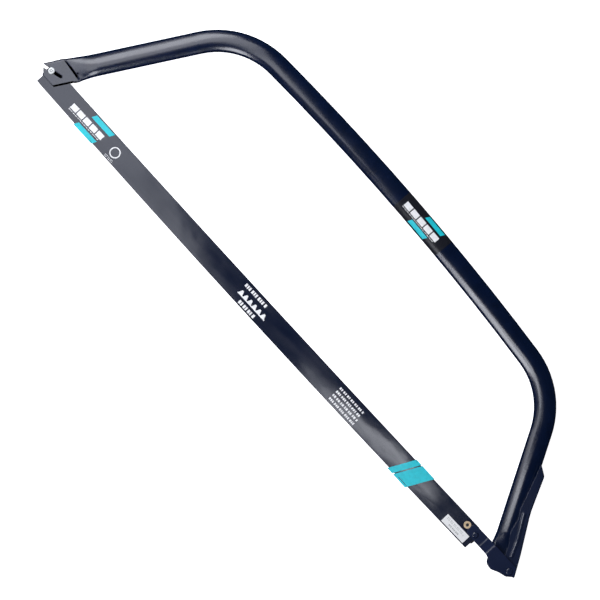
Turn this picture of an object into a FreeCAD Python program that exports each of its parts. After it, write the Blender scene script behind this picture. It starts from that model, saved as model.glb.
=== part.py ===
import FreeCAD, Part
import math
import os

# A 900 mm bow saw lying on its side, in millimetres.
# The working frame has X along the blade from the front bolt to the lever, Y from the teeth
# towards the bow and Z across the saw, with the front bolt at X = Y = 0 and the blade's middle
# plane at Z = 0.  place() moves every solid to the row frame, whose origin is the middle of the
# underside of the closed saw's bounding box.

Vec = FreeCAD.Vector
UP = Vec(0, 0, 1)

# ---------------------------------------------------------------- driving dimensions
HOLE_SPAN = 902.0                 # front bolt to blade pin: a 36 in blade, holes 6 mm from its ends
BLADE_PIN = Vec(HOLE_SPAN, 0, 0)
LEVER_PIVOT = Vec(950.0, -5.5, 0)  # lever on the flattened rear end of the tube
LINK_PIVOT = Vec(973.0, 0.7, 0)    # link plates on the lever

# bow: a 25.4 mm round tube pressed to an oval
TUBE_WIDTH = 32.4
TUBE_THICK = 16.4
TUBE_END_RADIUS = 5.4
TUBE_WALL = 1.2
CROWN_RADIUS = 4020.0
CROWN_TOP = Vec(376.8, 247.9, 0)
FRONT_LEG_ANGLE = 59.8            # each leg's lean above the blade's line, degrees
REAR_LEG_ANGLE = 60.5
FRONT_LEG_AT = Vec(60.0, 92.2, 0)  # a point on each leg's centreline
REAR_LEG_AT = Vec(900.4, 92.2, 0)
FRONT_BEND_RADIUS = 122.0
REAR_BEND_RADIUS = 119.0

# front end of the tube: two walls with a slit between them for the blade
FRONT_GAP = 3.0                   # between the two flattened walls
FRONT_FLAT_WIDTH = 38.0
FRONT_TRIM = 18.0                 # the walls' cut edge, from the leg's centreline
FRONT_BEVEL = 2.6                 # that edge's bevel, across the leg
FRONT_BEVEL_DEPTH = 0.8           # and into each wall
FRONT_FLAT_LOW = 125.0            # along the leg, down from FRONT_LEG_AT: past the cut end
FRONT_FLAT_HIGH = 82.0            # the crease, where it crosses the leg's centreline
CREASE_LEAN = -7.0                # the crease's slope to the blade, degrees
CREASE_STEP = 3.5                 # the sharp step above the crease
FRONT_OVAL_FROM = 44.0            # full oval above this
SLIT_TOP = 13.0                   # the slit is open to the sides below this Y
SLOT_ANGLE = 15.0                 # open-ended bolt slot
SLOT_WIDTH = 4.3
SLOT_REACH = 15.8                 # bolt to the centre of the closed end, in the upper wall
LOWER_SLOT_REACH = 1.0            # and in the lower wall

# rear end of the tube, which carries the lever
REAR_FLAT_THICK = 10.0
REAR_FLAT_WIDTH = 36.0
REAR_OVAL_TO = 64.0               # along the leg, down from REAR_LEG_AT
REAR_FLAT_FROM = 88.0
REAR_FLAT_TO = 130.0
REAR_LOBE = 9.5

# front bolt, nut and washers
BOLT_R = 2.0
WASHER_R = 4.8
WASHER_THICK = 1.0
NUT_FLATS = 7.6
NUT_HEIGHT = 3.4
HEAD_HEIGHT = 3.0
HEX_ROUNDING = 0.35               # the hexagons' corners are turned down to this past their flats
BOLT_PROUD = 1.0                  # thread that shows above the nut
BOLT_CHAMFER = 0.6

# blade and guard
BLADE_THICK = 0.9
BLADE_BACK = 5.5                  # Y of the blade's back
BLADE_TIPS = -19.5                # Y of the tooth points
BLADE_END = 6.0                   # past each hole
TOOTH_DEPTH = 6.0
TOOTH_GROUP = 25.0                # four cutting teeth and one raker
CUTTERS = 4
TOOTH_PITCH = 5.0
RAKER_DROP = 0.5                  # the raker is this much shorter
TEETH_INSET = 26.0                # plain blade before the first tooth
FRONT_HOLE_FROM = Vec(-0.3, 0, 0)  # the front hole is long, for the bolt as the lever opens
FRONT_HOLE_TO = Vec(9.7, 0, 0)
FRONT_HOLE_WIDTH = 7.2
GUARD_GAP = 1.5                   # between the guard's two plies
GUARD_PLY = 0.4
GUARD_LEFT = -3.6
GUARD_RIGHT = 905.9
GUARD_FOLD_HEIGHT = 0.4
GUARD_FRONT_NOTCH = Vec(16.0, -4.4, 0)   # inner corner of the notch round the front bolt
GUARD_REAR_NOTCH = Vec(898.8, -3.2, 0)   # and of the notch round the blade pin
EYELET_AT = Vec(884.0, 1.4, 0)
EYELET_R = 5.5
EYELET_BORE = 2.3
EYELET_FLANGE = 0.45
EYELET_NECK = 0.3                 # wall of its neck, through the upper ply
EYELET_ROUND = 0.3
LABEL_SIZE = (44.5, 13.8)
LABEL_AT = Vec(876.0, -15.0, 0)
LABEL_TILT = 1.0
LABEL_THICK = 0.1

# tension lever, a pressed channel
LIP_CLEARANCE = 0.6               # from the tube's edge to the web of the lip that closes over it
LIP_LENGTH = 60.0                 # along the rear leg
LEVER_INSIDE = 17.2               # between its walls
LEVER_SHEET = 1.5
LEVER_BEND = 1.4                  # outside radius of its long bends
BEAD_WIDTH = 6.2
BEAD_HEIGHT = 1.2

# link plates
TAB_GAP = 3.8                     # between the two tabs at the blade
LINK_SHEET = 2.0
LINK_INSIDE = 23.4                # between the plates at the lever
JOGGLE_FROM = 918.7
JOGGLE_TO = 931.7

# rivets and pins
RIVET_R = 3.0
RIVET_HEAD_R = 5.5
LOW_HEAD = 1.25                   # height of the lever rivet's heads, under the link plates
ROUND_HEAD = 1.8
BLADE_PIN_R = 2.5
PIN_HEAD_R = 4.8
SPACER_R = 6.0
RUN = 0.05                        # running clearance, on the radius and beside washers

# bow decal, a film round the upper face of the crown
DECAL_FROM = 475.0
DECAL_TO = 568.0
DECAL_THICK = 0.12

# ---------------------------------------------------------------- derived sizes
LEVER_OUTSIDE = LEVER_INSIDE + 2 * LEVER_SHEET
LINK_OUTSIDE = LINK_INSIDE + 2 * LINK_SHEET
HALF_THICK = LINK_OUTSIDE / 2 + ROUND_HEAD   # of the whole saw, at the link pivot's rivet heads
LEFT_END = -16.1                             # X of the tube's front tip
RIGHT_END = 984.5                            # X of the link plates' tip
FRONT_TIP = Vec(LEFT_END, -1.1, 0)
LINK_TIP = Vec(RIGHT_END, -0.4, 0)


def direction(degrees):
    return Vec(math.cos(math.radians(degrees)), math.sin(math.radians(degrees)), 0)


def polar(centre, radius, degrees):
    return centre + direction(degrees) * radius


FRONT_UP = direction(FRONT_LEG_ANGLE)             # up the front leg
FRONT_ACROSS = direction(FRONT_LEG_ANGLE - 90)    # towards the inside of the bow
REAR_DOWN = direction(-REAR_LEG_ANGLE)            # down the rear leg
REAR_ACROSS = direction(90 - REAR_LEG_ANGLE)      # towards the outside of the bow
CROWN_CENTRE = CROWN_TOP - Vec(0, CROWN_RADIUS, 0)


# ---------------------------------------------------------------- small helpers
def prism(wire, low, high):
    face = Part.Face(wire)
    face.translate(Vec(0, 0, low))
    return face.extrude(Vec(0, 0, high - low))


def rounded(points, radii):
    """Closed wire through the points, each corner rounded by its radius (0 keeps it sharp)."""
    count = len(points)
    edges = []
    last = None
    first = None
    for i in range(count):
        here = points[i]
        back = (points[i - 1] - here).normalize()
        ahead = (points[(i + 1) % count] - here).normalize()
        if radii[i] > 0:
            half = back.getAngle(ahead) / 2
            run = radii[i] / math.tan(half)
            start = here + back * run
            end = here + ahead * run
            middle = here + (back + ahead).normalize() * (radii[i] / math.sin(half) - radii[i])
        else:
            start = here
            end = here
        if last is not None and last.distanceToPoint(start) > 1e-6:
            edges.append(Part.LineSegment(last, start).toShape())
        if radii[i] > 0:
            edges.append(Part.Arc(start, middle, end).toShape())
        if first is None:
            first = start
        last = end
    edges.append(Part.LineSegment(last, first).toShape())
    return Part.Wire(edges)


def polygon(points):
    return rounded(points, [0] * len(points))


def disc(centre, radius, low, high):
    return Part.makeCylinder(radius, high - low, Vec(centre.x, centre.y, low), UP)


def ring(centre, outer, inner, low, high):
    return disc(centre, outer, low, high).cut(disc(centre, inner, low - 1, high + 1))


def slot(start, end, width, low, high):
    """Prism with round ends from start to end."""
    along = (end - start).normalize()
    side = Vec(-along.y, along.x, 0) * (width / 2)
    wire = Part.Wire([
        Part.LineSegment(start - side, end - side).toShape(),
        Part.Arc(end - side, end + along * (width / 2), end + side).toShape(),
        Part.LineSegment(end + side, start + side).toShape(),
        Part.Arc(start + side, start - along * (width / 2), start - side).toShape(),
    ])
    return prism(wire, low, high)


def rivet_head(centre, radius, base, height, side):
    """Flat-topped head with a round shoulder on face base, rising to side (+1 up, -1 down)."""
    top = radius * 0.55
    shoulder = Vec(radius * 0.9, 0, height * 0.62)
    outline = Part.Wire([
        Part.LineSegment(Vec(0, 0, 0), Vec(radius, 0, 0)).toShape(),
        Part.Arc(Vec(radius, 0, 0), shoulder, Vec(top, 0, height)).toShape(),
        Part.LineSegment(Vec(top, 0, height), Vec(0, 0, height)).toShape(),
        Part.LineSegment(Vec(0, 0, height), Vec(0, 0, 0)).toShape(),
    ])
    head = Part.Face(outline).revolve(Vec(0, 0, 0), UP, 360)
    if side < 0:
        head = head.mirror(Vec(0, 0, 0), UP)
    head.translate(Vec(centre.x, centre.y, base))
    return head


def rivet(centre, radius, head_radius, grip, height):
    """Rivet with a head on each face of a stack that is grip thick."""
    shank = disc(centre, radius, -grip / 2, grip / 2)
    upper = rivet_head(centre, head_radius, grip / 2, height, 1)
    lower = rivet_head(centre, head_radius, -grip / 2, height, -1)
    return shank.fuse([upper, lower])


# ---------------------------------------------------------------- bow
def oval(width, thick, end_radius, centre, across):
    """Four-arc oval wire round centre, its width along across and its thickness along Z."""
    half_width = width / 2
    half_thick = thick / 2
    offset = half_width - end_radius
    flat = half_thick - end_radius < 1e-6

    def at(x, z):
        return centre + across * x + UP * z

    if flat:
        join_x = offset
        join_z = half_thick
        tops = [Part.LineSegment(at(-join_x, s * join_z), at(join_x, s * join_z)) for s in (1, -1)]
    else:
        big = (offset ** 2 + half_thick ** 2 - end_radius ** 2) / (2 * (half_thick - end_radius))
        lean = math.atan2(offset, big - half_thick)
        join_x = offset + end_radius * math.sin(lean)
        join_z = end_radius * math.cos(lean)
        tops = [Part.Arc(at(-join_x, s * join_z), at(0, s * half_thick), at(join_x, s * join_z))
                for s in (1, -1)]
    ends = [Part.Arc(at(s * join_x, join_z), at(s * half_width, 0), at(s * join_x, -join_z))
            for s in (1, -1)]
    lower = tops[1].toShape()
    lower.reverse()
    return Part.Wire([tops[0].toShape(), ends[0].toShape(), lower, ends[1].toShape()])


def bend_centre(leg_point, down_leg, inward, radius):
    """Centre of the bend tangent to a leg and to the crown's arc inside it."""
    base = leg_point + inward * radius
    to_base = base - CROWN_CENTRE
    reach = CROWN_RADIUS - radius
    half = to_base.dot(down_leg)
    run = -half - math.sqrt(half ** 2 - to_base.dot(to_base) + reach ** 2)
    return base + down_leg * run


def tube(shrink):
    """The bow as one solid, every section drawn in by shrink."""
    width = TUBE_WIDTH - 2 * shrink
    thick = TUBE_THICK - 2 * shrink
    end_radius = TUBE_END_RADIUS - shrink
    front_down = FRONT_UP * -1
    front_centre = bend_centre(FRONT_LEG_AT, front_down, FRONT_ACROSS, FRONT_BEND_RADIUS)
    rear_centre = bend_centre(REAR_LEG_AT, REAR_DOWN, REAR_ACROSS * -1, REAR_BEND_RADIUS)
    front_top = front_centre - FRONT_ACROSS * FRONT_BEND_RADIUS
    rear_top = rear_centre + REAR_ACROSS * REAR_BEND_RADIUS
    front_crown = front_centre - CROWN_CENTRE
    rear_crown = rear_centre - CROWN_CENTRE
    crown_from = math.degrees(math.atan2(front_crown.y, front_crown.x))
    crown_to = math.degrees(math.atan2(rear_crown.y, rear_crown.x))
    front_turn = 90 + FRONT_LEG_ANGLE - crown_from
    rear_turn = crown_to - (90 - REAR_LEG_ANGLE)

    def prism_between(wire, vector):
        return Part.Face(wire).extrude(vector)

    def turned(centre, start, across, degrees):
        face = Part.Face(oval(width, thick, end_radius, start, across))
        return face.revolve(centre, UP, degrees)

    pieces = []
    start = FRONT_LEG_AT - FRONT_UP * FRONT_OVAL_FROM
    section = oval(width, thick, end_radius, start, FRONT_ACROSS)
    pieces.append(prism_between(section, front_top - start))
    pieces.append(turned(front_centre, front_top, FRONT_ACROSS, -front_turn))
    crown_start = polar(CROWN_CENTRE, CROWN_RADIUS, crown_from)
    pieces.append(turned(CROWN_CENTRE, crown_start, direction(crown_from), crown_to - crown_from))
    pieces.append(turned(rear_centre, rear_top, REAR_ACROSS, rear_turn))
    end = REAR_LEG_AT + REAR_DOWN * REAR_OVAL_TO
    section = oval(width, thick, end_radius, rear_top, REAR_ACROSS)
    pieces.append(prism_between(section, end - rear_top))
    pieces += front_end(shrink, width, thick, end_radius)
    pieces += rear_end(shrink, width, thick, end_radius)
    return pieces[0].fuse(pieces[1:])


def front_end(shrink, width, thick, end_radius):
    """Flat walls below the crease and the swell from them to the full oval."""
    flat_thick = FRONT_GAP + 2 * (TUBE_WALL - shrink)
    flat_width = FRONT_FLAT_WIDTH - 2 * shrink

    def section(down, share, square):
        radius = flat_thick / 2 + (end_radius - flat_thick / 2) * share
        lean = CREASE_LEAN + (FRONT_LEG_ANGLE - 90 - CREASE_LEAN) * square
        stretch = 1 / math.cos(math.radians(lean - (FRONT_LEG_ANGLE - 90)))
        return oval((flat_width + (width - flat_width) * share) * stretch,
                    flat_thick + (thick - flat_thick) * share,
                    radius, FRONT_LEG_AT - FRONT_UP * down, direction(lean))

    step_top = FRONT_FLAT_HIGH - CREASE_STEP
    rise = step_top - FRONT_OVAL_FROM
    stages = [(0.3, 0), (0.52, 0.35), (0.76, 0.7), (0.94, 0.93), (1, 1)]
    wires = [section(step_top - rise * i / 4, *stage) for i, stage in enumerate(stages)]
    swell = Part.makeLoft(wires, True)
    crease = section(FRONT_FLAT_HIGH, 0, 0)
    step = Part.makeLoft([crease, wires[0]], True, True)
    flat = Part.Face(crease).extrude(FRONT_UP * (FRONT_FLAT_HIGH - FRONT_FLAT_LOW))
    return [swell, step, flat]


def rear_end(shrink, width, thick, end_radius):
    """Swell from the full oval down to the flatter end that carries the lever."""
    flat_thick = REAR_FLAT_THICK - 2 * shrink
    flat_width = REAR_FLAT_WIDTH - 2 * shrink

    def section(down, share):
        radius = end_radius + (flat_thick / 2 - end_radius) * share
        return oval(width + (flat_width - width) * share, thick + (flat_thick - thick) * share,
                    radius, REAR_LEG_AT + REAR_DOWN * down, REAR_ACROSS)

    fall = REAR_FLAT_FROM - REAR_OVAL_TO
    shares = [0, 0.14, 0.5, 0.86, 1]
    wires = [section(REAR_OVAL_TO + fall * i / 4, share) for i, share in enumerate(shares)]
    swell = Part.makeLoft(wires, True)
    flat = Part.Face(section(REAR_FLAT_FROM, 1)).extrude(REAR_DOWN * (REAR_FLAT_TO - REAR_FLAT_FROM))
    return [swell, flat]


def front_bevel(side):
    """Wedge that bevels one wall's cut edge; side is 1 for the upper wall and -1 for the lower."""
    low = FRONT_LEG_AT - FRONT_UP * FRONT_FLAT_LOW
    face = (FRONT_GAP / 2 + TUBE_WALL) * side
    beyond = 1.0
    slope = FRONT_BEVEL_DEPTH / FRONT_BEVEL
    starts = low + FRONT_ACROSS * (FRONT_TRIM - FRONT_BEVEL) + UP * face
    ends = low + FRONT_ACROSS * (FRONT_TRIM + beyond) + UP * face
    corners = [starts, ends, ends - UP * (side * slope * (FRONT_BEVEL + beyond)), starts]
    return Part.Face(Part.makePolygon(corners)).extrude(FRONT_UP * (FRONT_FLAT_LOW - FRONT_FLAT_HIGH))


def front_cutters():
    """What the front end loses: below its cut end, the inner edge, the slit and the bolt slot."""
    deep = TUBE_THICK
    end_cut = polygon([FRONT_TIP, Vec(-5.0, -11.2, 0), Vec(-3.6, -13.3, 0), Vec(60, -13.3, 0),
                       Vec(60, -90, 0), Vec(-90, -90, 0), Vec(-90, 20, 0), Vec(-40, 20, 0)])
    low = FRONT_LEG_AT - FRONT_UP * FRONT_FLAT_LOW
    high = FRONT_LEG_AT - FRONT_UP * FRONT_FLAT_HIGH
    edge_cut = polygon([low + FRONT_ACROSS * FRONT_TRIM, high + FRONT_ACROSS * FRONT_TRIM,
                        high + FRONT_ACROSS * 40, low + FRONT_ACROSS * 40])
    slit = Part.makeBox(100, 90, FRONT_GAP, Vec(-40, SLIT_TOP - 90, -FRONT_GAP / 2))
    along_slot = direction(SLOT_ANGLE)
    return [prism(end_cut, -deep, deep), prism(edge_cut, -deep, deep), slit,
            front_bevel(1), front_bevel(-1),
            slot(along_slot * -40, along_slot * SLOT_REACH, SLOT_WIDTH, 0, deep),
            slot(along_slot * -40, along_slot * LOWER_SLOT_REACH, SLOT_WIDTH, -deep, 0)]


def rear_outline():
    """Everything that the rear end's trimmed outline loses, as one prism."""
    lobe_left = polar(LEVER_PIVOT, REAR_LOBE, -144)
    lobe_right = polar(LEVER_PIVOT, REAR_LOBE, -32)
    wire = Part.Wire([
        Part.LineSegment(Vec(890, 12.3, 0), Vec(925.5, 12.3, 0)).toShape(),
        Part.LineSegment(Vec(925.5, 12.3, 0), lobe_left).toShape(),
        Part.Arc(lobe_left, polar(LEVER_PIVOT, REAR_LOBE, -90), lobe_right).toShape(),
        Part.LineSegment(lobe_right, Vec(962.0, 16.5, 0)).toShape(),
        Part.LineSegment(Vec(962.0, 16.5, 0), Vec(1000, 16.5, 0)).toShape(),
        Part.LineSegment(Vec(1000, 16.5, 0), Vec(1000, -60, 0)).toShape(),
        Part.LineSegment(Vec(1000, -60, 0), Vec(890, -60, 0)).toShape(),
        Part.LineSegment(Vec(890, -60, 0), Vec(890, 12.3, 0)).toShape(),
    ])
    return prism(wire, -TUBE_THICK, TUBE_THICK)


def frame_tube():
    shell = tube(0).cut(tube(TUBE_WALL))
    for cutter in front_cutters():
        shell = shell.cut(cutter)
    shell = shell.cut(rear_outline())
    return shell.cut(disc(LEVER_PIVOT, RIVET_R, -TUBE_THICK, TUBE_THICK))


def frame_decal():
    def crown_face(grow):
        x_from = math.degrees(math.acos((DECAL_FROM - CROWN_CENTRE.x) / CROWN_RADIUS))
        start = polar(CROWN_CENTRE, CROWN_RADIUS, x_from)
        return Part.Face(oval(TUBE_WIDTH + 2 * grow, TUBE_THICK + 2 * grow, TUBE_END_RADIUS + grow,
                              start, direction(x_from)))

    turn = math.degrees((DECAL_TO - DECAL_FROM) / CROWN_RADIUS)
    film = crown_face(DECAL_THICK).cut(crown_face(0))
    keep = Part.makeBox(200, 120, 40, Vec(DECAL_FROM - 50, 180, 1.5))
    return film.revolve(CROWN_CENTRE, UP, -turn).common(keep)


# ---------------------------------------------------------------- front fastening
FRONT_FACE = FRONT_GAP / 2 + TUBE_WALL


def hexagon(centre, flats, low, high):
    corners = [polar(centre, flats / 2 / math.cos(math.radians(30)), 60 * i + 15) for i in range(6)]
    body = prism(polygon(corners), low, high)
    crown = disc(centre, flats / 2 + HEX_ROUNDING, low, high)
    return body.common(crown)


def front_bolt():
    centre = Vec(0, 0, 0)
    top = FRONT_FACE + WASHER_THICK + NUT_HEIGHT + BOLT_PROUD
    under = -FRONT_FACE - WASHER_THICK
    shank = disc(centre, BOLT_R, under, top)
    tips = [edge for edge in shank.Edges if abs(edge.BoundBox.ZMin - top) < 1e-6]
    shank = shank.makeChamfer(BOLT_CHAMFER, tips)
    return shank.fuse(hexagon(centre, NUT_FLATS, under - HEAD_HEIGHT, under))


def front_nut():
    low = FRONT_FACE + WASHER_THICK
    return hexagon(Vec(0, 0, 0), NUT_FLATS, low, low + NUT_HEIGHT).cut(disc(Vec(0, 0, 0), BOLT_R, 0, 20))


def front_washer(side):
    low = FRONT_FACE if side > 0 else -FRONT_FACE - WASHER_THICK
    return ring(Vec(0, 0, 0), WASHER_R, BOLT_R, low, low + WASHER_THICK)


# ---------------------------------------------------------------- tension lever
def lever_outer_region():
    """Area inside the lever's outer edge, left open towards the blade and past its foot."""
    points = [Vec(890.5, 138.6, 0), Vec(907.0, 129.7, 0), Vec(931.7, 80.4, 0), Vec(967.0, 28.6, 0),
              Vec(1003.7, -30.2, 0), Vec(850, -30.2, 0), Vec(850, 138.6, 0)]
    return rounded(points, [0, 9, 150, 60, 0, 0, 0])


def lever_inner_region():
    """Area beyond the walls' inner edges, with the foot round the two pivots."""
    points = [Vec(886.0, 146.0, 0), Vec(893.6, 131.0, 0), Vec(900.2, 115.5, 0), Vec(918.3, 72.0, 0),
              Vec(926.0, 61.0, 0), Vec(930.4, 46.5, 0), Vec(935.0, 36.4, 0), Vec(944.0, 27.0, 0),
              Vec(951.3, 12.5, 0), Vec(948.6, 4.5, 0), Vec(941.5, -1.0, 0), Vec(944.6, -13.3, 0),
              Vec(953.0, -14.5, 0), Vec(975.0, -8.2, 0), Vec(984.0, 0.4, 0), Vec(1020, 10, 0),
              Vec(1020, 146.0, 0)]
    return rounded(points, [0, 12, 40, 6, 6, 20, 12, 10, 3, 4, 4, 7, 6, 6, 0, 0, 0])


def lip_room():
    """Area left free for the bow's tube where the lever's lip closes over its edge."""
    edge = REAR_LEG_AT + REAR_ACROSS * (TUBE_WIDTH / 2 + LIP_CLEARANCE)
    above = REAR_DOWN * -LIP_LENGTH
    inner = REAR_LEG_AT - REAR_ACROSS * TUBE_WIDTH
    return polygon([edge + above, edge, inner, inner + above])


def lever_bead(side):
    """Half-round stiffening bead along one wall, in two straight runs with round ends."""
    radius = (BEAD_WIDTH ** 2 / 4 + BEAD_HEIGHT ** 2) / (2 * BEAD_HEIGHT)
    face = LEVER_OUTSIDE / 2
    sunk = Vec(0, 0, face + BEAD_HEIGHT - radius)
    route = [point + sunk for point in (Vec(927.0, 71.5, 0), Vec(949.6, 37.6, 0), Vec(959.0, 18.5, 0))]
    solids = [Part.makeSphere(radius, point) for point in route]
    for start, end in zip(route, route[1:]):
        solids.append(Part.makeCylinder(radius, (end - start).Length, start, end - start))
    above = Part.makeBox(200, 200, 20, Vec(850, -50, face - 0.3))
    bead = solids[0].fuse(solids[1:]).common(above)
    return bead if side > 0 else bead.mirror(Vec(0, 0, 0), UP)


def tension_lever():
    half_out = LEVER_OUTSIDE / 2
    half_in = LEVER_INSIDE / 2
    outside = prism(lever_outer_region(), -half_out, half_out)
    long_bends = [edge for edge in outside.Edges
                  if edge.BoundBox.ZLength < 1e-6 and edge.BoundBox.XMin > 889
                  and edge.BoundBox.YMax > -29]
    outside = outside.makeFillet(LEVER_BEND, long_bends)
    body = outside.common(prism(lever_inner_region(), -half_out - 1, half_out + 1))
    hollow = Part.Face(lever_outer_region()).makeOffset2D(-LEVER_SHEET)
    hollow.translate(Vec(0, 0, -half_in))
    body = body.cut(hollow.extrude(Vec(0, 0, LEVER_INSIDE)))
    body = body.cut(prism(lip_room(), -half_in, half_in))
    body = body.fuse([lever_bead(1), lever_bead(-1)]).removeSplitter()
    for pivot in (LEVER_PIVOT, LINK_PIVOT):
        body = body.cut(disc(pivot, RIVET_R + RUN, -half_out - 1, half_out + 1))
    return body


def lever_pivot_rivet():
    grip = LEVER_OUTSIDE + 2 * RUN
    return rivet(LEVER_PIVOT, RIVET_R, RIVET_HEAD_R, grip, LOW_HEAD)


def lever_pivot_spacer(side):
    length = (LEVER_INSIDE - REAR_FLAT_THICK) / 2 - RUN
    low = REAR_FLAT_THICK / 2 if side > 0 else -REAR_FLAT_THICK / 2 - length
    return ring(LEVER_PIVOT, SPACER_R, RIVET_R, low, low + length)


# ---------------------------------------------------------------- link
def link_outline():
    """Tab, straight top edge, raked tip and the round lobe over the lever's pivot."""
    lobe = 11.3
    lobe_left = polar(LEVER_PIVOT, lobe, -162)
    reach = LINK_TIP - LEVER_PIVOT
    to_tip = math.degrees(math.atan2(reach.y, reach.x))
    lobe_right_angle = to_tip - math.degrees(math.acos(lobe / reach.Length))
    lobe_right = polar(LEVER_PIVOT, lobe, lobe_right_angle)
    tab_end = 888.7
    low = -7.3
    high = 10.6
    corner = 6.5
    knee = Vec(976.4, 11.6, 0)

    def line(a, b):
        return Part.LineSegment(a, b).toShape()

    def quarter(cx, cy, degrees):
        centre = Vec(cx, cy, 0)
        return Part.Arc(polar(centre, corner, degrees), polar(centre, corner, degrees - 45),
                        polar(centre, corner, degrees - 90)).toShape()

    return Part.Wire([
        quarter(tab_end + corner, high - corner, 180),
        line(Vec(tab_end + corner, high, 0), Vec(JOGGLE_TO, 11.4, 0)),
        line(Vec(JOGGLE_TO, 11.4, 0), knee),
        line(knee, LINK_TIP),
        line(LINK_TIP, lobe_right),
        Part.Arc(lobe_right, polar(LEVER_PIVOT, lobe, -100), lobe_left).toShape(),
        line(lobe_left, Vec(933.0, low, 0)),
        line(Vec(933.0, low, 0), Vec(tab_end + corner, low, 0)),
        quarter(tab_end + corner, low + corner, -90),
        line(Vec(tab_end, low + corner, 0), Vec(tab_end, high - corner, 0)),
    ])


def link_plate(side):
    """Sheet bent outwards twice: tab beside the blade, joggle, wide part outside the lever."""
    near = TAB_GAP / 2
    far = LINK_INSIDE / 2
    slope = (far - near) / (JOGGLE_TO - JOGGLE_FROM)
    shift = LINK_SHEET * math.tan(math.atan(slope) / 2)
    profile = [Vec(870, 0, near), Vec(JOGGLE_FROM, 0, near), Vec(JOGGLE_TO, 0, far), Vec(1000, 0, far),
               Vec(1000, 0, far + LINK_SHEET), Vec(JOGGLE_TO - shift, 0, far + LINK_SHEET),
               Vec(JOGGLE_FROM - shift, 0, near + LINK_SHEET), Vec(870, 0, near + LINK_SHEET)]
    wire = rounded(profile, [0, 4.5, 2.5, 0, 0, 4.5, 2.5, 0])
    sheet = Part.Face(wire).extrude(Vec(0, 80, 0))
    sheet.translate(Vec(0, -40, 0))
    plate = sheet.common(prism(link_outline(), 0, 30))
    plate = plate.cut(disc(LINK_PIVOT, RIVET_R, 0, 30))
    plate = plate.cut(disc(BLADE_PIN, BLADE_PIN_R, 0, 30))
    if side < 0:
        plate = plate.mirror(Vec(0, 0, 0), UP)
    return plate


def link_pivot_rivet():
    return rivet(LINK_PIVOT, RIVET_R, RIVET_HEAD_R, LINK_OUTSIDE, ROUND_HEAD)


def link_pivot_washer(side):
    thick = (LINK_INSIDE - LEVER_OUTSIDE) / 2 - RUN
    low = LINK_INSIDE / 2 - thick if side > 0 else -LINK_INSIDE / 2
    return ring(LINK_PIVOT, SPACER_R, RIVET_R, low, low + thick)


def link_pivot_spacer():
    return ring(LINK_PIVOT, SPACER_R - 1, RIVET_R + RUN, -LEVER_INSIDE / 2, LEVER_INSIDE / 2)


def blade_pin():
    return rivet(BLADE_PIN, BLADE_PIN_R, PIN_HEAD_R, TAB_GAP + 2 * LINK_SHEET, ROUND_HEAD)


# ---------------------------------------------------------------- blade
def tooth_points(start):
    """One group of cutting teeth and a raker, from its left end, as outline points."""
    root = BLADE_TIPS + TOOTH_DEPTH
    points = []
    for i in range(CUTTERS):
        left = start + i * TOOTH_PITCH
        points += [Vec(left, root, 0), Vec(left + TOOTH_PITCH / 2, BLADE_TIPS, 0)]
    left = start + CUTTERS * TOOTH_PITCH
    tip = BLADE_TIPS + RAKER_DROP
    points += [Vec(left, root, 0), Vec(left + 1.0, tip, 0), Vec(left + 2.1, tip + 1.4, 0),
               Vec(left + 3.2, tip, 0), Vec(left + 4.2, root, 0)]
    return points


def saw_blade():
    left = -BLADE_END
    right = HOLE_SPAN + BLADE_END
    toothed = right - left - 2 * TEETH_INSET
    groups = int(toothed // TOOTH_GROUP)
    first = (left + right - groups * TOOTH_GROUP) / 2
    points = [Vec(left, BLADE_BACK, 0), Vec(left, BLADE_TIPS + TOOTH_DEPTH, 0)]
    for i in range(groups):
        points += tooth_points(first + i * TOOTH_GROUP)
    points += [Vec(right, BLADE_TIPS + TOOTH_DEPTH, 0), Vec(right, BLADE_BACK, 0)]
    corner = 2.5
    radii = [corner, corner] + [0] * (len(points) - 4) + [corner, corner]
    plate = prism(rounded(points, radii), -BLADE_THICK / 2, BLADE_THICK / 2)
    plate = plate.cut(disc(BLADE_PIN, BLADE_PIN_R + RUN, -1, 1))
    return plate.cut(slot(FRONT_HOLE_FROM, FRONT_HOLE_TO, FRONT_HOLE_WIDTH, -1, 1))


# ---------------------------------------------------------------- guard
def guard_outline(grow_bottom):
    """The sleeve's outline, bowed a little away from the blade's back in the middle."""
    middle = (GUARD_LEFT + GUARD_RIGHT) / 2
    top = [Vec(GUARD_LEFT, 7.8, 0), Vec(middle, 6.9, 0), Vec(GUARD_RIGHT, 11.4, 0)]
    low = [Vec(GUARD_RIGHT, -23.1 - grow_bottom, 0), Vec(middle, -29.0 - grow_bottom, 0),
           Vec(GUARD_LEFT, -25.2 - grow_bottom, 0)]
    return Part.Wire([
        Part.Arc(*top).toShape(),
        Part.LineSegment(top[2], low[0]).toShape(),
        Part.Arc(*low).toShape(),
        Part.LineSegment(low[2], top[0]).toShape(),
    ])


def blade_guard():
    half = GUARD_GAP / 2 + GUARD_PLY
    body = prism(guard_outline(0), -half, half)
    hollow = prism(guard_outline(-GUARD_FOLD_HEIGHT), -GUARD_GAP / 2, GUARD_GAP / 2)
    wide = hollow.BoundBox
    ends = [Part.makeBox(2, 50, GUARD_GAP, Vec(x, -30 + GUARD_FOLD_HEIGHT, -GUARD_GAP / 2))
            for x in (wide.XMin - 2, wide.XMax)]
    top = Part.makeBox(1000, 8, GUARD_GAP, Vec(-20, 5.9, -GUARD_GAP / 2))
    body = body.cut(hollow.fuse([top] + ends))
    front_notch = Part.makeBox(26, 30, 10, GUARD_FRONT_NOTCH - Vec(26, 0, 5))
    rear_notch = Part.makeBox(20, 30, 10, GUARD_REAR_NOTCH - Vec(0, 0, 5))
    body = body.cut(front_notch.fuse(rear_notch))
    return body.cut(disc(EYELET_AT, EYELET_BORE + EYELET_NECK, 0, 5))


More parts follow.
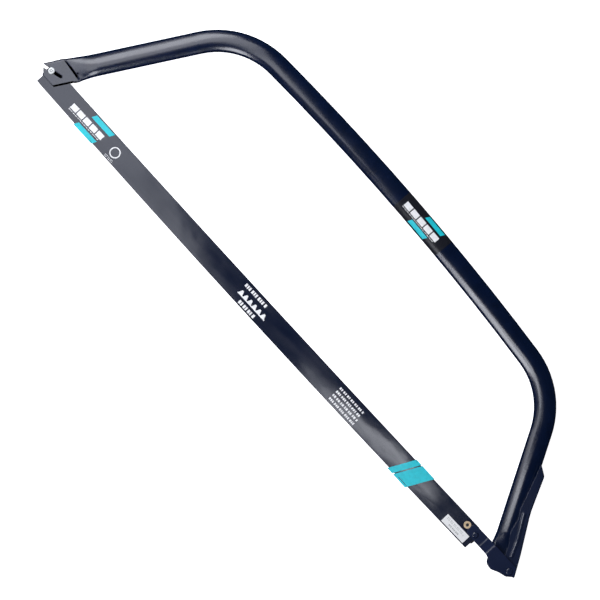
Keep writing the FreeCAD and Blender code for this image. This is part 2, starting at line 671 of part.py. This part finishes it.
def guard_eyelet():
    face = GUARD_GAP / 2 + GUARD_PLY
    flange = ring(EYELET_AT, EYELET_R, EYELET_BORE, face, face + EYELET_FLANGE)
    rims = [edge for edge in flange.Edges if abs(edge.BoundBox.ZMin - face - EYELET_FLANGE) < 1e-6
            and edge.BoundBox.ZLength < 1e-6]
    flange = flange.makeFillet(EYELET_ROUND, rims)
    return flange.fuse(ring(EYELET_AT, EYELET_BORE + EYELET_NECK, EYELET_BORE, GUARD_GAP / 2, face))


def guard_label():
    width, height = LABEL_SIZE
    face = GUARD_GAP / 2 + GUARD_PLY
    label = Part.makeBox(width, height, LABEL_THICK, Vec(-width / 2, -height / 2, face))
    label.rotate(Vec(0, 0, 0), UP, LABEL_TILT)
    label.translate(LABEL_AT)
    return label


# ---------------------------------------------------------------- export
def top_of_bow():
    return CROWN_TOP.y + TUBE_WIDTH / 2


def foot_of_guard():
    return blade_guard().BoundBox.YMin


def place(shape, foot):
    """From the working frame to the row frame."""
    middle_x = (LEFT_END + RIGHT_END) / 2
    middle_y = (top_of_bow() + foot) / 2
    shape.translate(Vec(-middle_x, -middle_y, HALF_THICK))
    return shape


NODES = {
    "frame_tube": frame_tube,
    "frame_decal": frame_decal,
    "front_bolt": front_bolt,
    "front_nut": front_nut,
    "front_washer_upper": lambda: front_washer(1),
    "front_washer_lower": lambda: front_washer(-1),
    "lever_pivot_rivet": lever_pivot_rivet,
    "lever_pivot_spacer_upper": lambda: lever_pivot_spacer(1),
    "lever_pivot_spacer_lower": lambda: lever_pivot_spacer(-1),
    "tension_lever": tension_lever,
    "link_pivot_spacer": link_pivot_spacer,
    "link_plate_upper": lambda: link_plate(1),
    "link_plate_lower": lambda: link_plate(-1),
    "link_pivot_rivet": link_pivot_rivet,
    "link_pivot_washer_upper": lambda: link_pivot_washer(1),
    "link_pivot_washer_lower": lambda: link_pivot_washer(-1),
    "blade_pin": blade_pin,
    "saw_blade": saw_blade,
    "blade_guard": blade_guard,
    "guard_eyelet": guard_eyelet,
    "guard_label": guard_label,
}

os.makedirs("parts", exist_ok=True)
guard_foot = foot_of_guard()
for name, build in NODES.items():
    solid = place(build(), guard_foot)
    solid.exportStep("parts/" + name + ".step")
    box = solid.BoundBox
    print(name, solid.isValid(), len(solid.Solids), round(solid.Volume, 1),
          [round(v, 2) for v in (box.XMin, box.YMin, box.ZMin, box.XMax, box.YMax, box.ZMax)])
print("guard foot", guard_foot, "middle x", (LEFT_END + RIGHT_END) / 2,
      "middle y", (top_of_bow() + guard_foot) / 2, "up", HALF_THICK)
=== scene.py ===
import bmesh
import bpy
import math
from mathutils import Matrix, Vector
from mathutils.bvhtree import BVHTree

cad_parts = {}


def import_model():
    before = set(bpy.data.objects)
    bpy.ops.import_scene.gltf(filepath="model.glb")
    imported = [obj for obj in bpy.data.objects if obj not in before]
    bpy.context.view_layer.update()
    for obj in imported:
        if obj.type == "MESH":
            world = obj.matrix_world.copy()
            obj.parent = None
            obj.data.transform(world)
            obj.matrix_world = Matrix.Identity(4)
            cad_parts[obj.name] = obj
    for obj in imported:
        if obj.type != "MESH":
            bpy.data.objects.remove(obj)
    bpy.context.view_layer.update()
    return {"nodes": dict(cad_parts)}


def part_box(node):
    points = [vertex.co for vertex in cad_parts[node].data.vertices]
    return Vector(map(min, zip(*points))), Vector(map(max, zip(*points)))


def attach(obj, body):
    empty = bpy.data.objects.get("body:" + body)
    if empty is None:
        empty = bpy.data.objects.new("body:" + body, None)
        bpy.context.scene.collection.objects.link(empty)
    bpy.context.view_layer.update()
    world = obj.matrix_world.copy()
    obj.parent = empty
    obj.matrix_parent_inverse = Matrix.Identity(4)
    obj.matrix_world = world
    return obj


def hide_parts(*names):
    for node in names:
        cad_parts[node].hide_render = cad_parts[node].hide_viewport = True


# A 900 mm bow saw lying on its side, seen from above.  Units are metres, in the row frame: X runs
# along the blade from the front bolt to the tension lever, Y from the teeth to the bow, Z up.

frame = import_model()
NODES = frame["nodes"]
MM = 0.001


# ---------------------------------------------------------------- material helpers
MIX_FACTOR = 0                       # the Mix node's sockets when it mixes colours
MIX_FIRST = 6
MIX_SECOND = 7
MIX_COLOUR = 2


class Shader:
    """A Principled material whose nodes read the row-frame position of the surface."""

    def __init__(self, name, colour, roughness, metallic=0.0):
        self.material = bpy.data.materials.new(name)
        self.material.use_nodes = True
        self.tree = self.material.node_tree
        self.surface = self.tree.nodes["Principled BSDF"]
        self.set("Base Color", (*colour, 1))
        self.set("Roughness", roughness)
        self.set("Metallic", metallic)
        self.position = self.tree.nodes.new("ShaderNodeTexCoord").outputs["Object"]

    def set(self, socket, value):
        self.surface.inputs[socket].default_value = value

    def link(self, output, socket):
        self.tree.links.new(output, self.surface.inputs[socket])

    def node(self, kind, **settings):
        made = self.tree.nodes.new(kind)
        for key, value in settings.items():
            setattr(made, key, value)
        return made

    def noise(self, scale, detail=4.0, stretch=(1, 1, 1), roughness=0.5):
        """Noise of a size in metres: scale is its number of waves a metre."""
        mapping = self.node("ShaderNodeMapping")
        mapping.inputs["Scale"].default_value = stretch
        self.tree.links.new(self.position, mapping.inputs["Vector"])
        noise = self.node("ShaderNodeTexNoise")
        noise.inputs["Scale"].default_value = scale
        noise.inputs["Detail"].default_value = detail
        noise.inputs["Roughness"].default_value = roughness
        self.tree.links.new(mapping.outputs["Vector"], noise.inputs["Vector"])
        return noise.outputs["Fac"]

    def ramp(self, factor, stops):
        """Colour or grey from a factor; stops are (place, colour) with grey given as one number."""
        ramp = self.node("ShaderNodeValToRGB")
        elements = ramp.color_ramp.elements
        while len(elements) < len(stops):
            elements.new(0.5)
        for element, (place, colour) in zip(elements, stops):
            element.position = place
            grey = isinstance(colour, (int, float))
            element.color = (colour, colour, colour, 1) if grey else (*colour, 1)
        self.tree.links.new(factor, ramp.inputs["Fac"])
        return ramp.outputs["Color"]

    def mix(self, factor, first, second):
        mixer = self.node("ShaderNodeMix", data_type="RGBA")
        sockets = (mixer.inputs[MIX_FACTOR], mixer.inputs[MIX_FIRST], mixer.inputs[MIX_SECOND])
        for socket, value in zip(sockets, (factor, first, second)):
            if isinstance(value, bpy.types.NodeSocket):
                self.tree.links.new(value, socket)
            else:
                socket.default_value = value if isinstance(value, float) else (*value, 1)
        return mixer.outputs[MIX_COLOUR]

    def nearness(self, spot, inner, outer):
        """1 within inner of a spot in the row frame, falling to 0 at outer."""
        distance = self.node("ShaderNodeVectorMath", operation="DISTANCE")
        self.tree.links.new(self.position, distance.inputs[0])
        distance.inputs[1].default_value = spot
        fade = self.node("ShaderNodeMapRange")
        fade.inputs["From Min"].default_value = outer
        fade.inputs["From Max"].default_value = inner
        self.tree.links.new(distance.outputs["Value"], fade.inputs["Value"])
        return fade.outputs["Result"]

    def bump(self, height, strength, distance, under=None):
        bump = self.node("ShaderNodeBump")
        bump.inputs["Strength"].default_value = strength
        bump.inputs["Distance"].default_value = distance
        self.tree.links.new(height, bump.inputs["Height"])
        if under is not None:
            self.tree.links.new(under, bump.inputs["Normal"])
        self.link(bump.outputs["Normal"], "Normal")

    def math(self, operation, first, *others):
        """Result of a Math node on a socket and further sockets or numbers."""
        made = self.node("ShaderNodeMath", operation=operation)
        self.tree.links.new(first, made.inputs[0])
        for socket, value in zip(made.inputs[1:], others):
            if isinstance(value, bpy.types.NodeSocket):
                self.tree.links.new(value, socket)
            else:
                socket.default_value = value
        return made.outputs[0]

    def facing(self, way, least):
        """1 where the surface leans towards a direction by at least this much, and 0 elsewhere."""
        geometry = self.node("ShaderNodeNewGeometry")
        lean = self.node("ShaderNodeVectorMath", operation="DOT_PRODUCT")
        self.tree.links.new(geometry.outputs["True Normal"], lean.inputs[0])
        lean.inputs[1].default_value = way
        return self.math("GREATER_THAN", lean.outputs["Value"], least)

    def rounded_edges(self, radius):
        bevel = self.node("ShaderNodeBevel", samples=6)
        bevel.inputs["Radius"].default_value = radius
        return bevel.outputs["Normal"]


# ---------------------------------------------------------------- materials
NAVY = (0.0011, 0.0052, 0.023)
DARK_NAVY = (0.0008, 0.0045, 0.019)  # the paint's mottle runs between these two
PALE_NAVY = (0.0015, 0.0065, 0.028)
# painted light: a paler navy that lightens the pressed parts and rivets
PAINTED_LIGHT_NAVY = (0.018, 0.025, 0.060)
BLACK = (0.0, 0.0, 0.0)
TUBE_EDGE = 2.0 * MM                 # radius of the paint over the tube's sharp edges
LEVER_EDGE = 0.9 * MM                # over those of the lever and the painted rivets
LINK_EDGE = 1.4 * MM                 # over those of the link plates
SLIT_HALF = 1.6 * MM                 # from the blade's middle to just inside the slit's walls
SHADE_WAY = math.radians(-60)         # the front end's bevel and crease, painted black as shade, lean this way
SHADE_LEAN = 0.19                     # the sine of the least lean that counts
SHADE_REACH = (38 * MM, 41 * MM)      # from the bolt: full painted shade within the first, none past the second
# roughness of the painted shade on the tube's front end
SHADE_ROUGHNESS = (0.6, 0.6, 0.6)
SHADE_PATCH_OFFSET = Vector((9, 2, 0)) * MM  # from the bolt to the middle of the guard's patch of painted shade
SHADE_PATCH_REACH = (13 * MM, 15 * MM)       # the same for the patch, from its middle
# roughness of the guard's painted shade
SHADE_PATCH_ROUGHNESS = (0.9, 0.9, 0.9)
BLADE_SHADE_REACH = (22 * MM, 26 * MM)       # the same for the painted shade on the blade
BLADE_GREY = 0.06


def navy_paint(name, edge):
    """Gloss paint, with its colour and roughness outputs; edge is its radius over sharp edges."""
    paint = Shader(name, NAVY, 0.2)
    mottle = paint.ramp(paint.noise(70, 3), [(0.3, DARK_NAVY), (0.7, PALE_NAVY)])
    haze = paint.ramp(paint.noise(18, 5, (1, 1, 2)), [(0.35, 0.15), (0.7, 0.22)])
    paint.link(mottle, "Base Color")
    paint.link(haze, "Roughness")
    paint.bump(paint.noise(420, 2), 0.12, 0.0004, paint.rounded_edges(edge))
    paint.set("Specular IOR Level", 0.6)
    return paint, mottle, haze


def bolt_middle():
    bolt_low, bolt_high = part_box("front_bolt")
    return (bolt_low + bolt_high) / 2


def tube_paint():
    """Navy paint, with painted shade: black on the front end's bevel and crease and on the slit's inner
    faces near the bolt.
    """
    paint, mottle, haze = navy_paint("tube_paint", TUBE_EDGE)
    blade_low, blade_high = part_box("saw_blade")
    height = paint.node("ShaderNodeSeparateXYZ")
    paint.tree.links.new(paint.position, height.inputs[0])
    inside = paint.math("COMPARE", height.outputs["Z"], (blade_low.z + blade_high.z) / 2, SLIT_HALF)
    bevel = paint.facing((math.cos(SHADE_WAY), math.sin(SHADE_WAY), 0), SHADE_LEAN)
    near_bolt = paint.nearness(bolt_middle(), *SHADE_REACH)
    # painted shade: the slit's inner faces and the leaning bevel and crease near the bolt are made black
    # metal
    painted_shade = paint.math("MULTIPLY", paint.math("MAXIMUM", inside, bevel), near_bolt)
    paint.link(paint.mix(painted_shade, mottle, BLACK), "Base Color")
    paint.link(paint.mix(painted_shade, haze, SHADE_ROUGHNESS), "Roughness")
    paint.link(painted_shade, "Metallic")
    return paint.material


def navy_with_painted_light(name, edge, share, shine):
    """The tube's navy lightened towards a paler navy as painted light, on pressed parts and rivets.

    share runs from 0 for the tube's navy to 1 for that paler navy, and shine is the specular level.
    """
    paint, mottle, _ = navy_paint(name, edge)
    paint.link(paint.mix(share, mottle, PAINTED_LIGHT_NAVY), "Base Color")
    paint.set("Specular IOR Level", shine)
    return paint.material


def guard_plastic():
    """Glossy printed film, with a matt black patch of painted shade beside the bolt, in the bow's slit
    end.
    """
    plastic = Shader("guard_plastic", (0.003, 0.006, 0.022), 0.3)
    # painted shade: black, matt metal within the patch round the bolt
    shade_patch = plastic.nearness(bolt_middle() + SHADE_PATCH_OFFSET, *SHADE_PATCH_REACH)
    tone = plastic.noise(12, 4, (1, 3, 1))
    printed = plastic.ramp(tone, [(0.3, (0.0015, 0.005, 0.02)), (0.7, (0.0035, 0.0075, 0.024))])
    plastic.link(plastic.mix(shade_patch, printed, (0.001, 0.001, 0.002)), "Base Color")
    smears = plastic.ramp(plastic.noise(30, 6, (0.4, 2, 1)), [(0.35, 0.15), (0.7, 0.26)])
    plastic.link(plastic.mix(shade_patch, smears, SHADE_PATCH_ROUGHNESS), "Roughness")
    plastic.link(shade_patch, "Metallic")
    plastic.bump(plastic.noise(14, 2, (1, 2.2, 1)), 0.35, 0.002, plastic.rounded_edges(0.0003))
    return plastic.material


def ink(name, colour, roughness=0.35):
    shader = Shader(name, colour, roughness)
    wear = shader.noise(260, 6)
    dull = tuple(c * 0.86 for c in colour)
    shader.link(shader.ramp(wear, [(0.3, dull), (0.6, colour)]), "Base Color")
    shader.set("Specular IOR Level", 0.25)
    return shader.material


def zinc():
    plate = Shader("zinc", (0.32, 0.33, 0.33), 0.35, 1.0)
    brushed = plate.noise(900, 3, (1, 1, 0.2))
    plate.link(plate.ramp(brushed, [(0.3, 0.22), (0.7, 0.42)]), "Roughness")
    plate.bump(plate.noise(380, 3), 0.5, 0.0006, plate.rounded_edges(0.0003))
    return plate.material


def bare_steel(name, grey):
    steel = Shader(name, (grey, grey, grey * 1.03), 0.35, 1.0)
    grain = steel.noise(1200, 3, (0.05, 1, 1))
    steel.link(steel.ramp(grain, [(0.3, 0.28), (0.7, 0.5)]), "Roughness")
    steel.bump(grain, 0.08, 0.0002)
    return steel


def blade_steel():
    """Dark steel, painted black round the long front hole as shade."""
    steel = bare_steel("blade_steel", BLADE_GREY)
    # painted shade: the blade turns black round the bolt
    blade_shade = steel.nearness(bolt_middle(), *BLADE_SHADE_REACH)
    steel.link(steel.mix(blade_shade, (BLADE_GREY, BLADE_GREY, BLADE_GREY), BLACK), "Base Color")
    return steel.material


def brass():
    metal = Shader("brass", (0.8, 0.62, 0.42), 0.3, 0.5)
    tarnish = metal.noise(350, 5)
    metal.link(metal.ramp(tarnish, [(0.35, (0.84, 0.66, 0.44)), (0.75, (0.5, 0.34, 0.18))]), "Base Color")
    metal.bump(metal.noise(700, 2), 0.1, 0.0002, metal.rounded_edges(0.0002))
    return metal.material


def label_paper():
    paper = Shader("label_paper", (0.8, 0.8, 0.78), 0.55)
    fibres = paper.noise(900, 4)
    paper.link(paper.ramp(fibres, [(0.3, (0.80, 0.80, 0.79)), (0.7, (0.90, 0.90, 0.89))]), "Base Color")
    return paper.material


def dress(material, names):
    """Gives CAD nodes their material."""
    for name in names:
        node = NODES[name]
        node.data.materials.clear()
        node.data.materials.append(material)


dress(tube_paint(), ["frame_tube"])
# the lever, link plates and rivets have the tube's navy lightened as painted light
PRESSED = navy_with_painted_light("pressed_paint", LEVER_EDGE, 0.35, 0.8)
LINK_PAINT = navy_with_painted_light("link_paint", LINK_EDGE, 0.5, 0.32)
dress(PRESSED, ["tension_lever"])
dress(LINK_PAINT, ["link_plate_upper", "link_plate_lower"])
dress(PRESSED, ["lever_pivot_rivet", "link_pivot_rivet", "blade_pin"])
dress(zinc(), ["front_bolt", "front_nut", "front_washer_upper", "front_washer_lower"])
dress(bare_steel("bare_steel", 0.5).material,
      ["lever_pivot_spacer_upper", "lever_pivot_spacer_lower", "link_pivot_spacer",
       "link_pivot_washer_upper", "link_pivot_washer_lower"])
dress(blade_steel(), ["saw_blade"])
dress(guard_plastic(), ["blade_guard"])
dress(ink("decal_film", (0.012, 0.013, 0.018), 0.2), ["frame_decal"])
dress(brass(), ["guard_eyelet"])
dress(label_paper(), ["guard_label"])


# ---------------------------------------------------------------- the guard's soft plies
GUARD_LOW, GUARD_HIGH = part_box("blade_guard")
BULGE = 0.75 * MM                    # how far each ply bows away from the blade
FLAT_FRONT = 52 * MM                 # the ends stay flat: in the bow's slit, and under the label
FLAT_REAR = 54 * MM
FADE_FRONT = 50 * MM
FADE_REAR = 25 * MM
RIPPLES = ((0.19, 0.4, 0.16), (0.071, 2.1, 0.12), (0.043, 4.4, 0.07))   # wavelength, phase, share
RIPPLE_SLANT = 9 * MM                # how much the ripples' phase turns with Y
STRIP_LENGTH = 14 * MM               # the plies are divided this finely along the saw
STRIP_WIDTH = 4.3 * MM               # and across it
CREASE_ANGLE = math.radians(25)      # an edge that turns more than this stays sharp


def bow_of_ply(x, y):
    """How far a ply stands out at one place: full in the middle, none at its edges and ends."""
    across = (2 * y - GUARD_LOW.y - GUARD_HIGH.y) / (GUARD_HIGH.y - GUARD_LOW.y)
    inward = min((x - GUARD_LOW.x - FLAT_FRONT) / FADE_FRONT, (GUARD_HIGH.x - FLAT_REAR - x) / FADE_REAR)
    fade = max(0.0, min(1.0, inward))
    fade = fade * fade * (3 - 2 * fade)
    ripple = sum(share * math.sin(2 * math.pi * x / wave + phase + RIPPLE_SLANT * y / wave)
                 for wave, phase, share in RIPPLES)
    return BULGE * fade * (1 - across * across) * (1 + ripple)


def guard_sleeve():
    """The guard with bowed, slightly rippled plies, on the CAD sleeve's own outline."""
    source = NODES["blade_guard"]
    made = bmesh.new()
    made.from_mesh(source.data)
    for axis, step in ((0, STRIP_LENGTH), (1, STRIP_WIDTH)):
        for i in range(1, int((GUARD_HIGH[axis] - GUARD_LOW[axis]) / step) + 1):
            cut = Vector((0, 0, 0))
            cut[axis] = GUARD_LOW[axis] + i * step
            normal = Vector((axis == 0, axis == 1, 0))
            everything = made.verts[:] + made.edges[:] + made.faces[:]
            bmesh.ops.bisect_plane(made, geom=everything, plane_co=cut, plane_no=normal)
    middle = (GUARD_LOW.z + GUARD_HIGH.z) / 2
    for vert in made.verts:
        side = 1 if vert.co.z > middle else -1
        vert.co.z += side * bow_of_ply(vert.co.x, vert.co.y)
    for face in made.faces:
        face.smooth = True
    for edge in made.edges:
        edge.smooth = edge.calc_face_angle(0) < CREASE_ANGLE
    mesh = bpy.data.meshes.new("guard_sleeve")
    made.to_mesh(mesh)
    made.free()
    mesh.materials.clear()
    mesh.materials.append(source.data.materials[0])
    sleeve = bpy.data.objects.new("guard_sleeve", mesh)
    bpy.context.scene.collection.objects.link(sleeve)
    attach(sleeve, "guard")
    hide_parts("blade_guard")
    return sleeve


SLEEVE = guard_sleeve()


# ---------------------------------------------------------------- printed marks
DECAL_LOW, DECAL_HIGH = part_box("frame_decal")
LABEL_LOW, LABEL_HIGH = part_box("guard_label")
GUARD_MARGIN = 0.4                   # mm that a bar right across the guard stops short of each edge
GUARD_WIDTH = (GUARD_HIGH.y - GUARD_LOW.y) / MM - 2 * GUARD_MARGIN
CROWN_SLOPE = math.radians(-2.6)     # the crown's slope where the decal is
DECAL_MIDDLE = (46.5, 16.2)          # mm from the decal's front end and inner edge to its middle
GUARD_LIFT = 0.05                    # mm above its face where a mark overhangs the guard's edge
LABEL_LIFT = 0.03                    # and the label's
RAY_FROM = 0.06                      # a height above the whole saw
FILM_THICK = 0.03 * MM
FILM_STEP = (2 * MM, 1.5 * MM)       # how finely a film is divided along and up its patches
BAR_LEAN = 0.5                       # how far a slanted bar leans for each unit it rises
WIDER_GAP = 2.2                      # of a dash row, in its ordinary gaps
CYAN = ink("cyan_ink", (0.017, 0.56, 0.65))
WHITE = ink("white_ink", (0.88, 0.88, 0.88))
GREY = ink("grey_ink", (0.42, 0.43, 0.42))


def on_guard(along, up):
    """Point on the guard's face: mm from its front end and from its lower edge."""
    return Vector((GUARD_LOW.x + along * MM, GUARD_LOW.y + up * MM, GUARD_HIGH.z + GUARD_LIFT * MM))


def on_decal(along, up):
    """Point over the tube's decal: mm from its front end, and across it from the inner edge."""
    middle = (DECAL_LOW + DECAL_HIGH) / 2
    side = Vector((math.cos(CROWN_SLOPE), math.sin(CROWN_SLOPE), 0))
    top = Vector((-math.sin(CROWN_SLOPE), math.cos(CROWN_SLOPE), 0))
    return middle + side * (along - DECAL_MIDDLE[0]) * MM + top * (up - DECAL_MIDDLE[1]) * MM


def on_label(along, up):
    """Point on the label's face: mm from its left end and from its lower edge."""
    return Vector((LABEL_LOW.x + along * MM, LABEL_LOW.y + up * MM, LABEL_HIGH.z + LABEL_LIFT * MM))


def film(name, patches, surface, material, body, lift=0.06):
    """Thin printed film laid on an object's upper face; lift is in mm above the face.

    Each patch is four corners in order; it is divided finely enough to follow the face under it.
    """
    corners = [vertex.co for vertex in surface.data.vertices]
    under = BVHTree.FromPolygons(corners, [face.vertices for face in surface.data.polygons])
    mesh = bpy.data.meshes.new(name)
    made = bmesh.new()
    for low_left, low_right, high_right, high_left in patches:
        across = max(1, round((low_right - low_left).length / FILM_STEP[0]))
        rise = max(1, round((high_left - low_left).length / FILM_STEP[1]))
        rows = []
        for j in range(rise + 1):
            left = low_left.lerp(high_left, j / rise)
            right = low_right.lerp(high_right, j / rise)
            spots = [left.lerp(right, i / across) for i in range(across + 1)]
            rows.append([made.verts.new(settle(under, spot, lift * MM)) for spot in spots])
        for lower, upper in zip(rows, rows[1:]):
            for i in range(across):
                made.faces.new((lower[i], lower[i + 1], upper[i + 1], upper[i]))
    made.normal_update()
    made.to_mesh(mesh)
    made.free()
    mesh.materials.append(material)
    piece = bpy.data.objects.new(name, mesh)
    bpy.context.scene.collection.objects.link(piece)
    thickness = piece.modifiers.new("thickness", "SOLIDIFY")
    thickness.thickness = FILM_THICK
    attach(piece, body)


def settle(under, spot, lift):
    """The spot dropped onto a surface and lifted a little off it, or lifted where it is."""
    hit = under.ray_cast(Vector((spot.x, spot.y, RAY_FROM)), Vector((0, 0, -1)))[0]
    return Vector((spot.x, spot.y, (hit.z if hit else spot.z) + lift))


def bar(place, along, up, width, height, lean=0.0):
    """One four-cornered patch in mm, its upper edge moved along by its lean."""
    corners = [(0, 0), (width, 0), (width + lean * height, height), (lean * height, height)]
    return [place(along + x, up + y) for x, y in corners]


def ring_patches(place, along, up, outer, inner, steps=32):
    """Flat ring round a place, in this many patches; its radii are in mm."""
    patches = []
    for i in range(steps):
        turns = [2 * math.pi * (i + k) / steps for k in (0, 1)]
        spots = [(radius, turn) for radius, turn in
                 ((inner, turns[1]), (inner, turns[0]), (outer, turns[0]), (outer, turns[1]))]
        patches.append([place(along + r * math.cos(t), up + r * math.sin(t)) for r, t in spots])
    return patches


def dash_row(place, along, up, height, dashes, lengths, gap=1.3):
    """A row of plain dashes whose lengths in mm repeat; after each repeat comes a wider gap."""
    patches = []
    for i in range(dashes):
        length = lengths[i % len(lengths)]
        patches.append(bar(place, along, up, length, height))
        along += length + gap * (WIDER_GAP if (i + 1) % len(lengths) == 0 else 1)
    return patches


def tooth_row(place, along, up, count, pitch, height):
    """Row of plain teeth on a strip, each with a narrow flat tip."""
    strip = 1.6
    tooth = 0.84
    tip_from = 0.28
    tip_to = 0.56
    patches = [bar(place, along - 1, up - strip, pitch * count + 1, strip)]
    for i in range(count):
        left = along + i * pitch
        patches.append([place(left, up), place(left + pitch * tooth, up),
                        place(left + pitch * tip_to, up + height),
                        place(left + pitch * tip_from, up + height)])
    return patches


def guard_prints():
    """Marks on the guard; places and sizes are in mm, as on_guard takes them."""
    cyan = [bar(on_guard, 91.5, 26.6, 38.0, 7.6, BAR_LEAN),
            bar(on_guard, 81.0, 0.6, 38.0, 7.6, BAR_LEAN),
            bar(on_guard, 749.5, GUARD_MARGIN, 10.4, GUARD_WIDTH, BAR_LEAN),
            bar(on_guard, 761.8, GUARD_MARGIN, 25.6, GUARD_WIDTH, BAR_LEAN)]
    film("guard_cyan_bars", cyan, SLEEVE, CYAN, "guard")
    white = dash_row(on_guard, 60.0, 13.4, 8.6, 5, [11.5], 0.8)
    white += dash_row(on_guard, 60.0, 10.9, 0.8, 14, [3.4], 0.5)
    white += ring_patches(on_guard, 152.0, 17.0, 8.2, 6.6)
    white += dash_row(on_guard, 144.0, 5.6, 0.8, 6, [2.0, 1.4], 0.6)
    white += dash_row(on_guard, 144.0, 3.4, 0.8, 6, [1.4, 2.2], 0.6)
    white += dash_row(on_guard, 418.0, 25.6, 5.2, 10, [3.4, 2.4, 3.0], 1.1)
    white += tooth_row(on_guard, 419.0, 13.4, 6, 9.2, 6.0)
    white += dash_row(on_guard, 429.0, 2.4, 5.4, 7, [3.6, 2.6], 1.0)
    for up, count, lengths in ((26.4, 13, [2.6, 2.0]), (19.4, 14, [2.4, 2.4, 1.8]),
                               (12.4, 13, [2.2, 2.8]), (5.4, 15, [2.6, 1.8, 2.2])):
        white += dash_row(on_guard, 619.0, up, 3.4, count, lengths, 1.0)
    film("guard_white_marks", white, SLEEVE, WHITE, "guard")


def label_prints():
    """Grey dashes on the label, in mm as on_label takes them."""
    grey = dash_row(on_label, 3.6, 10.4, 0.9, 10, [2.2, 1.6], 0.8)
    grey += dash_row(on_label, 3.6, 8.4, 0.7, 11, [1.6, 2.4], 0.8)
    grey += dash_row(on_label, 12.0, 3.2, 2.4, 9, [1.6, 1.0, 1.4], 0.7)
    film("label_grey_marks", grey, NODES["guard_label"], GREY, "guard", 0.03)


def decal_prints():
    """Marks on the tube's decal, in mm as on_decal takes them."""
    cyan = [bar(on_decal, 42.0, 24.4, 34.0, 6.4, BAR_LEAN),
            bar(on_decal, 29.0, 2.2, 34.0, 6.4, BAR_LEAN)]
    film("decal_cyan_bars", cyan, NODES["frame_decal"], CYAN, "frame")
    white = dash_row(on_decal, 8.0, 12.4, 8.6, 5, [12.6], 0.8)
    white += dash_row(on_decal, 8.0, 10.2, 0.8, 14, [3.8], 0.5)
    film("decal_white_marks", white, NODES["frame_decal"], WHITE, "frame")


guard_prints()
label_prints()
decal_prints()


# ---------------------------------------------------------------- floor, light and camera
VIEW_TURN = math.radians(47.6)       # the saw's X axis points this far below the picture's right
VIEW_CENTRE = Vector((-0.0007, -0.0759, 0.0155))   # the camera looks straight down on this point
VIEW_WIDTH = 0.8614                  # what the picture takes in at that point's height
VIEW_HEIGHT = 6.0                    # of the camera above it
SENSOR = 36                          # mm
LIGHT_COLOUR = (0.92, 0.94, 1.0)


def floor():
    bpy.ops.mesh.primitive_plane_add(size=30)
    plane = bpy.context.object
    plane.name = "floor"
    shader = Shader("floor", (0.9, 0.9, 0.9), 0.9)
    shader.set("Emission Color", (1, 1, 1, 1))
    shader.set("Emission Strength", 1.0)
    plane.data.materials.append(shader.material)
    plane.visible_glossy = False


def camera():
    data = bpy.data.cameras.new("camera")
    data.lens = SENSOR * VIEW_HEIGHT / VIEW_WIDTH
    data.sensor_width = SENSOR
    data.clip_end = 100
    made = bpy.data.objects.new("camera", data)
    bpy.context.scene.collection.objects.link(made)
    above = VIEW_CENTRE + Vector((0, 0, VIEW_HEIGHT))
    made.matrix_world = Matrix.Translation(above) @ Matrix.Rotation(VIEW_TURN, 4, "Z")
    bpy.context.scene.camera = made


def world():
    sky = bpy.data.worlds.new("world")
    sky.use_nodes = True
    background = sky.node_tree.nodes["Background"]
    background.inputs["Color"].default_value = (0.62, 0.66, 0.75, 1)
    background.inputs["Strength"].default_value = 0.04
    bpy.context.scene.world = sky


def softbox(name, middle, size, radiance, height=1.2, turn=0.0):
    """Level softbox facing down; middle and size run along the saw and across it, in metres.

    turn, in degrees, swings its length from the saw's own.
    """
    data = bpy.data.lights.new(name, "AREA")
    data.shape = "RECTANGLE"
    data.size, data.size_y = size
    data.energy = math.pi * radiance * size[0] * size[1]
    data.color = LIGHT_COLOUR
    lamp = bpy.data.objects.new(name, data)
    bpy.context.scene.collection.objects.link(lamp)
    lamp.location = VIEW_CENTRE + Vector((*middle, height))
    lamp.rotation_euler = (0, 0, math.radians(turn))
    return lamp


floor()
softbox("front_near", (-0.476, 0.184), (0.30, 1.4), 3.4, turn=20)
softbox("front_low", (-0.765, -0.266), (0.55, 0.55), 3.3, turn=20)
softbox("front_far", (-1.07, 0.474), (0.62, 1.05), 7.5, turn=20)
softbox("rear_box", (0.235, -0.83), (0.33, 0.60), 11.0)
softbox("rear_strip", (0.244, -0.085), (0.265, 0.10), 7.5, height=0.6, turn=29.5)
fill = softbox("fill", (0, 0), (3.0, 3.0), 0.55, height=2.6)
fill.visible_glossy = False
camera()
world()
bpy.context.scene.view_settings.view_transform = "Standard"
